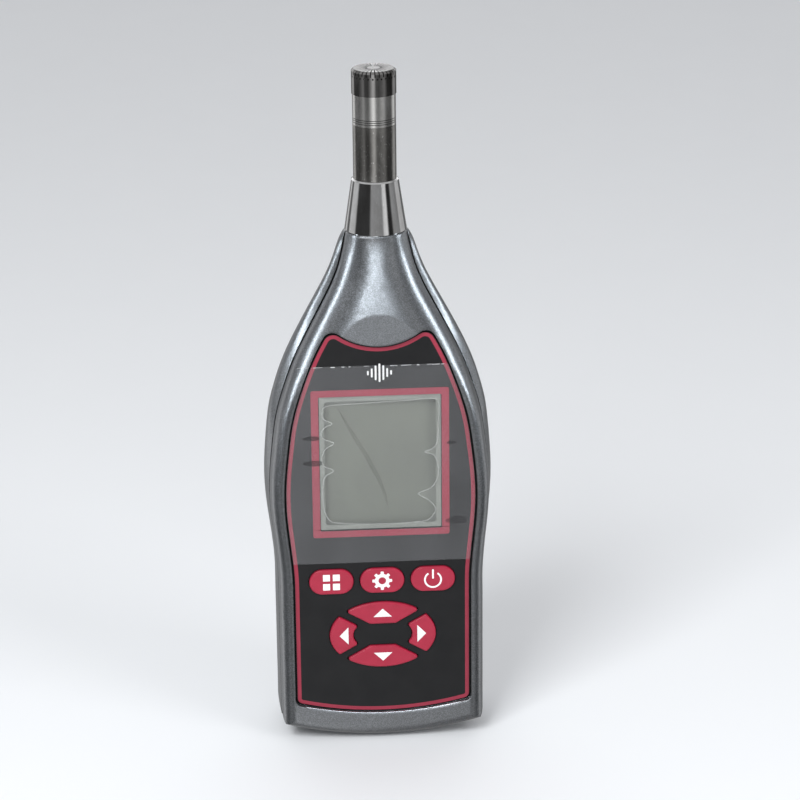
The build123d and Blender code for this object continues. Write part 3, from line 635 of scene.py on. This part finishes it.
def offset_loop(loop, distance):
    """A closed outline moved inwards by a distance."""
    area = sum(a[0] * b[1] - b[0] * a[1] for a, b in zip(loop, loop[1:] + loop[:1]))
    side = 1 if area > 0 else -1
    moved = []
    for i, (x, z) in enumerate(loop):
        before = Vector((x - loop[i - 1][0], z - loop[i - 1][1])).normalized()
        after_point = loop[(i + 1) % len(loop)]
        after = Vector((after_point[0] - x, after_point[1] - z)).normalized()
        normal_before = Vector((-before.y, before.x))
        normal_after = Vector((-after.y, after.x))
        middle = (normal_before + normal_after).normalized()
        reach = distance / max(middle.dot(normal_after), 0.5)
        moved.append((x + side * middle.x * reach, z + side * middle.y * reach))
    return moved


def ribbon_outline(points, widths):
    """Strip of varying width along an open line of (x, z)."""
    left, right = [], []
    for i, (x, z) in enumerate(points):
        ahead = points[min(i + 1, len(points) - 1)]
        behind = points[max(i - 1, 0)]
        run = Vector((ahead[0] - behind[0], ahead[1] - behind[1])).normalized()
        half = widths[i] / 2
        left.append((x - run.y * half, z + run.x * half))
        right.append((x + run.y * half, z - run.x * half))
    return left + right[::-1]


def sheet_data(outline, y):
    """One flat face towards the display side."""
    return [(x, y, z) for x, z in outline], [tuple(range(len(outline)))]


def strip_data(outer, inner, y):
    """Flat band between two outlines of the same number of points."""
    count = len(outer)
    points = [(x, y, z) for x, z in outer] + [(x, y, z) for x, z in inner]
    faces = [(i, count + i, count + (i + 1) % count, (i + 1) % count) for i in range(count)]
    return points, faces


def smooth_line(points, steps=6, closed=False):
    """Catmull-Rom curve through the points."""
    out = []
    count = len(points)
    spans = count if closed else count - 1
    for i in range(spans):
        if closed:
            p0, p1, p2, p3 = (points[(i + k) % count] for k in (-1, 0, 1, 2))
        else:
            p0, p1, p2, p3 = (points[min(max(i + k, 0), count - 1)] for k in (-1, 0, 1, 2))
        for s in range(steps):
            t = s / steps
            point = []
            for a, b, c, d in zip(p0, p1, p2, p3):
                curve = 2 * b + (c - a) * t + (2 * a - 5 * b + 4 * c - d) * t * t
                point.append(0.5 * (curve + (3 * b - a - 3 * c + d) * t**3))
            out.append(tuple(point))
    if not closed:
        out.append(points[-1])
    return out


def front_loops(node):
    """Closed outlines of a node's foremost flat face, as lists of (x, z), largest first."""
    mesh = frame["nodes"][node].data
    front = min(v.co.y for v in mesh.vertices)

    def key(v):
        return (round(v.co.x * 1e6), round(v.co.z * 1e6))

    count = {}
    for polygon in mesh.polygons:
        corners = [mesh.vertices[i] for i in polygon.vertices]
        if any(v.co.y - front > 2e-6 for v in corners):
            continue
        for a, b in zip(corners, corners[1:] + corners[:1]):
            edge = (key(a), key(b))
            count[edge] = count.get(edge, 0) + 1
    border = {a: b for a, b in count if (b, a) not in count}
    loops = []
    while border:
        start, point = border.popitem()
        loop = [start]
        while point != start and point in border:
            loop.append(point)
            point = border.pop(point)
        loops.append([(x * 1e-6, z * 1e-6) for x, z in loop])

    def spread(loop):
        return max(x for x, _ in loop) - min(x for x, _ in loop)

    return sorted(loops, key=spread, reverse=True)


def centre_of(node):
    low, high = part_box(node)
    return (low[0] + high[0]) / 2, (low[2] + high[2]) / 2


# ---------------------------------------------------------------- printing on the overlay

PRINT = 0.012 * MM
PINSTRIPE_FROM = 0.1 * MM
PINSTRIPE_WIDTH = 1.15 * MM
FRAME_WIDTH = 2.25 * MM


def overlay_front():
    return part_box("panel_overlay")[0][1]


def make_pinstripe(red):
    loop = front_loops("panel_overlay")[0]
    outer = offset_loop(loop, PINSTRIPE_FROM)
    inner = offset_loop(loop, PINSTRIPE_FROM + PINSTRIPE_WIDTH)
    points, faces = ring_data(outer, inner, overlay_front() - PRINT, overlay_front() + PRINT)
    piece("pinstripe", points, faces, red, "case")


def make_display_frame(red, mask):
    low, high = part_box("display_window")
    x, z = centre_of("display_window")
    width = high[0] - low[0] + 0.2 * MM
    height = high[2] - low[2] + 0.2 * MM
    outer = rounded_rectangle(x, z, width + 2 * FRAME_WIDTH, height + 2 * FRAME_WIDTH - 0.3 * MM, 0.7 * MM)
    inner = rounded_rectangle(x, z, width, height, 0.4 * MM)
    points, faces = ring_data(outer, inner, overlay_front() - PRINT, overlay_front() + PRINT)
    piece("display_frame", points, faces, red, "case")
    inside = rounded_rectangle(x, z, width - 3.4 * MM, height - 3.4 * MM, 1.0 * MM)
    edge = rounded_rectangle(x, z, width - 0.4 * MM, height - 0.4 * MM, 0.4 * MM)
    back = high[1]
    points, faces = ring_data(edge, inside, back - 0.05 * MM, back - 0.03 * MM)
    piece("window_mask", points, faces, mask, "case")


LIP_RADIUS = 0.5 * MM
LIP_OUT = 0.85 * MM
LIP_RISE = 4.2 * MM


def make_recess_lip(highlight_paint):
    """Rolled edge of the casing along the foot of the recess, thinning out up its corners; its paint is a
    lighter, bluer painted highlight.
    """
    loop = offset_loop(front_loops("panel_overlay")[0], -LIP_OUT)
    foot = min(z for _, z in loop)
    path = sorted((x, z) for x, z in loop if z < foot + LIP_RISE)
    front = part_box("front_shell")[0][1]
    steps = 14
    points, faces = [], []
    for i, (x, z) in enumerate(path):
        ahead = path[min(i + 1, len(path) - 1)]
        behind = path[max(i - 1, 0)]
        run = Vector((ahead[0] - behind[0], ahead[1] - behind[1])).normalized()
        end = min(x - path[0][0], path[-1][0] - x)
        radius = LIP_RADIUS * (0.25 + 0.75 * min(end / (5 * MM), 1.0))
        for k in range(steps):
            angle = 2 * math.pi * k / steps
            out = radius * math.cos(angle)
            depth = front + LIP_RADIUS + 0.02 * MM + radius * math.sin(angle)
            points.append((x - run.y * out, depth, z + run.x * out))
    for i in range(len(path) - 1):
        for k in range(steps):
            m = (k + 1) % steps
            faces.append((i * steps + k, i * steps + m, (i + 1) * steps + m, (i + 1) * steps + k))
    faces.append(tuple(range(steps)))
    faces.append(tuple(range(len(points) - 1, len(points) - 1 - steps, -1)))
    obj = piece("recess_lip", points, faces, highlight_paint, "case")
    for polygon in obj.data.polygons:
        polygon.use_smooth = True
    for lamp in ("top_strip_on", "neck_light_on"):
        bpy.data.collections[lamp].objects.link(obj)


EMBLEM_BARS = (1.4, 2.8, 4.6, 5.8, 4.6, 2.8, 1.4)


def make_emblem(white):
    """Seven plain bars of different heights above the display."""
    _, z = centre_of("display_window")
    z += 28.8 * MM
    front = overlay_front()
    bars = []
    for i, height in enumerate(EMBLEM_BARS):
        x = (i - (len(EMBLEM_BARS) - 1) / 2) * 1.15 * MM
        outline = rounded_rectangle(x, z, 0.55 * MM, height * MM, 0.25 * MM, 4)
        bars.append(prism_data(outline, front - PRINT, front + PRINT))
    points, faces = joined(bars)
    piece("emblem_bars", points, faces, white, "case")


# ---------------------------------------------------------------- painted shade in the grooves of the cartridge

GROOVE_HEIGHTS = (0.79, 1.39, 1.99)


def make_groove_shade(dark):
    """Painted shade: dark rings on the floors of the three fine grooves at the cartridge's foot."""
    low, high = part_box("mic_cartridge")
    centre_x = (low[0] + high[0]) / 2
    centre_y = (low[1] + high[1]) / 2
    tube_low, tube_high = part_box("preamp_tube")
    radius = (tube_high[0] - tube_low[0]) / 2 - 0.02 * MM
    steps = 96
    inner = radius - 0.3 * MM
    solids = []
    for height in GROOVE_HEIGHTS:
        points, faces = [], []
        for i in range(steps):
            angle = 2 * math.pi * i / steps
            across, along = math.cos(angle), math.sin(angle)
            for r, z in ((radius, -0.08), (radius, 0.08), (inner, 0.08), (inner, -0.08)):
                points.append((centre_x + r * across, centre_y + r * along, low[2] + (height + z) * MM))
        for i in range(steps):
            j = (i + 1) % steps
            for k in range(4):
                m = (k + 1) % 4
                faces.append((4 * i + k, 4 * j + k, 4 * j + m, 4 * i + m))
        solids.append((points, faces))
    points, faces = joined(solids)
    piece("cartridge_groove_shade", points, faces, dark, "microphone")


# ---------------------------------------------------------------- symbols on the keys


def make_icons(white):
    def on_key(name, solids):
        points, faces = joined(solids)
        piece(name[: -len("_key")] + "_symbol", points, faces, white, name)

    def front_of(name):
        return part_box(name)[0][1]

    x, z = centre_of("menu_key")
    y = front_of("menu_key")
    squares = []
    for sx in (-1, 1):
        for sz in (-1, 1):
            side = 2.15 * MM
            outline = rounded_rectangle(x + sx * 1.5 * MM, z + sz * 1.5 * MM, side, side, 0.1 * MM, 2)
            squares.append(prism_data(outline, y - PRINT, y + PRINT))
    on_key("menu_key", squares)

    x, z = centre_of("setup_key")
    y = front_of("setup_key")
    outer, inner = [], []
    steps = 160
    teeth = 8
    for i in range(steps):
        angle = 2 * math.pi * i / steps
        wave = math.cos(teeth * (angle - math.pi / 2))
        rise = min(max((wave + 0.15) / 0.5, 0.0), 1.0)
        radius = (2.25 + 0.78 * rise) * MM
        outer.append((x + radius * math.cos(angle), z + radius * math.sin(angle)))
        inner.append((x + 1.15 * MM * math.cos(angle), z + 1.15 * MM * math.sin(angle)))
    on_key("setup_key", [ring_data(outer, inner, y - PRINT, y + PRINT)])

    x, z = centre_of("power_key")
    y = front_of("power_key")
    outer, inner = [], []
    for i in range(49):
        angle = math.radians(90 + 34 + (360 - 68) * i / 48)
        for loop, radius in ((outer, 2.75 * MM), (inner, 2.2 * MM)):
            loop.append((x + radius * math.cos(angle), z - 0.2 * MM + radius * math.sin(angle)))
    bar = rounded_rectangle(x, z + 1.65 * MM, 0.55 * MM, 3.1 * MM, 0.2 * MM, 3)
    arc = ring_data(outer, inner, y - PRINT, y + PRINT, closed=False)
    on_key("power_key", [arc, prism_data(bar, y - PRINT, y + PRINT)])

    for name, turn in (("up_key", 0), ("left_key", 90), ("down_key", 180), ("right_key", 270)):
        x, z = centre_of(name)
        y = front_of(name)
        outline = []
        for px, pz in ((0.0, 1.45), (-2.85, -1.25), (2.85, -1.25)):
            c, s = math.cos(math.radians(turn)), math.sin(math.radians(turn))
            outline.append((x + (px * c - pz * s) * MM, z + (px * s + pz * c) * MM))
        on_key(name, [prism_data(outline, y - PRINT, y + PRINT)])


# ---------------------------------------------------------------- protective film details

# Edge of the air trapped under the film, clockwise from the upper left, in mm from the window's centre
AIR_EDGE = (
    (-17.4, 17.6), (-15.2, 19.0), (-8.0, 19.4), (0.0, 19.7), (8.0, 20.0), (15.6, 20.3),
    (17.7, 19.0), (17.6, 12.0), (17.2, 6.2), (15.6, 4.0), (13.6, 3.2), (16.2, 2.2),
    (17.4, -1.0), (17.3, -5.0), (15.4, -8.4), (11.6, -10.2),
    (14.4, -12.2), (16.6, -15.0), (15.2, -18.2), (12.0, -19.4), (0.0, -19.8), (-12.0, -19.2),
    (-15.8, -18.0),
    (-17.5, -13.5), (-17.6, -7.0), (-16.8, -3.6), (-14.4, -1.9), (-17.2, -0.4), (-17.8, 2.6), (-16.4, 5.4),
    (-14.2, 6.9), (-17.0, 8.2), (-17.9, 10.2), (-16.6, 12.2), (-14.6, 13.2), (-17.0, 14.6),
)

# Bubbles as (x, z, width, height) in mm from the window's centre
FILM_SPOTS = (
    (-20.6, 8.6, 5.0, 1.5),
    (-20.2, 0.6, 6.0, 1.9),
    (21.4, 6.0, 3.0, 1.2),
    (23.0, -19.2, 6.5, 2.6),
    (0.8, -21.2, 44.0, 0.5),
)


def make_clear_sheets(film, window):
    """The film and the display window as single clear faces, so that little haze builds up."""
    sheets = (("protective_film", film, "clear_film"), ("display_window", window, "clear_window"))
    for node, material, slot in sheets:
        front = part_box(node)[0][1]
        points, faces = sheet_data(front_loops(node)[0], front)
        obj = piece(node + "_sheet", points, faces, material, "case")
        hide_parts(node)


def make_film_details(sheen, glint, dark, shade):
    random.seed(7)
    x0, z0 = centre_of("display_window")
    low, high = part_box("protective_film")
    front = low[1]

    def placed(points):
        return [(x0 + x * MM, z0 + z * MM) for x, z in points]

    edge = smooth_line(placed(AIR_EDGE), 6, closed=True)
    points, faces = strip_data(edge, offset_loop(edge, 0.3 * MM), front - 0.01 * MM)
    piece("air_edge", points, faces, sheen, "case")
    points, faces = sheet_data(edge, front - 0.005 * MM)
    piece("air_pocket", points, faces, shade, "case")

    crease = smooth_line(placed(((-12.5, 18.0), (-8.5, 10.0), (-4.0, 2.0), (0.5, -8.0), (2.0, -15.0))), 8)
    count = len(crease)
    widths = [0.12 * MM + 1.3 * MM * math.sin(math.pi * (i + 0.5) / count) for i in range(count)]
    points, faces = sheet_data(ribbon_outline(crease, widths), front - 0.015 * MM)
    piece("film_crease", points, faces, shade, "case")

    # Painted glints: bright flecks along the cut upper edge
    edge_glints = []
    span = high[0] - low[0]
    for i in range(30):
        x = low[0] + span * (0.06 + 0.88 * random.random())
        width = (0.3 + 1.6 * random.random()) * MM
        height = (0.06 + 0.16 * random.random()) * MM
        outline = rounded_rectangle(x, high[2] - 0.12 * MM - height / 2, width, height, height * 0.45, 2)
        edge_glints.append(sheet_data(outline, front - 0.01 * MM))
    points, faces = joined(edge_glints)
    piece("film_edge_glints", points, faces, glint, "case")

    # Long dark bubbles beside the display, and the line and patch below it
    spots = []
    for x, z, width, height in FILM_SPOTS:
        outline = []
        for i in range(28):
            angle = 2 * math.pi * i / 28
            wobble = 1 + 0.12 * math.sin(3 * angle + x)
            outline.append((x + width / 2 * math.cos(angle) * wobble, z + height / 2 * math.sin(angle)))
        spots.append(sheet_data(placed(outline), front - 0.02 * MM))
    points, faces = joined(spots)
    piece("film_bubbles", points, faces, dark, "case")


# ---------------------------------------------------------------- build

SHELLS = ("front_shell", "rear_shell", "battery_cover")
COOL = (0.86, 0.94, 1.0)

bpy.context.scene.view_settings.view_transform = "Standard"
make_camera()
make_world()
area_light("key_light", (-0.45, -0.75, 0.85), (0, 0, 0.1), (0.5, 0.5), 10, (0.97, 0.99, 1.0))
area_light("fill_light", (0.7, -0.6, 0.4), (0, 0, 0.1), (0.4, 0.8), 4, mirrored=False)
area_light("neck_light", (-0.02, -0.80, 0.15), (0, 0, 0.15), (0.22, 0.10), 0.95, COOL, SHELLS)
area_light("left_strip", (-0.70, -0.12, 0.28), (0, 0, 0.12), (0.10, 0.4), 1.8, COOL, SHELLS)
area_light("right_strip", (0.70, -0.12, 0.28), (0, 0, 0.12), (0.10, 0.4), 1.8, COOL, SHELLS)
area_light("top_strip", (0.0, -0.25, 0.85), (0, 0, 0.05), (0.7, 0.12), 1.7, COOL, SHELLS)
make_floor()
materials = make_materials()
dress_frame(materials)

red_print = moulded("red_print", (0.3, 0.026, 0.052), (0.34, 0.032, 0.062), 0.4, 0.3, 0.002)
white_print = moulded("white_print", (0.82, 0.82, 0.82), (0.9, 0.9, 0.9), 0.45, 0.3, 0.002)
mask_print = moulded("mask_print", (0.25, 0.265, 0.235), (0.29, 0.305, 0.27), 0.45, 0.3, 0.002)
film_sheen = clear_sheet("film_sheen", (0.6, 0.62, 0.6), 0.2, 0.5, 0.25, 0.02)
film_glint = clear_sheet("film_glint", (0.95, 0.96, 0.98), 0.6, 0.9, 0.2, 0.02)
film_dark = clear_sheet("film_dark", (0.03, 0.03, 0.033), 0.3, 0.6, 0.3, 0.02)
film_shade = clear_sheet("film_shade", (0.08, 0.09, 0.07), 0.10, 0.16, 0.3, 0.02)

# Painted shade for the cartridge's grooves.
groove_shade = plated("groove_shade", (0.03, 0.03, 0.03), (0.07, 0.07, 0.07), 0.5)
make_groove_shade(groove_shade)
# Painted highlight: a lighter, bluer metal than the casing's lacquer, for the rolled lip.
lip_highlight_paint = turned_metal("lip_highlight_paint", (0.45, 0.47, 0.5), (0.6, 0.62, 0.66), 0.22, 0.3 * MM, 0.002 * MM)
make_recess_lip(lip_highlight_paint)
make_pinstripe(red_print)
make_display_frame(red_print, mask_print)
make_emblem(white_print)
make_icons(white_print)
make_clear_sheets(materials["clear_film"], materials["clear_window"])
make_film_details(film_sheen, film_glint, film_dark, film_shade)
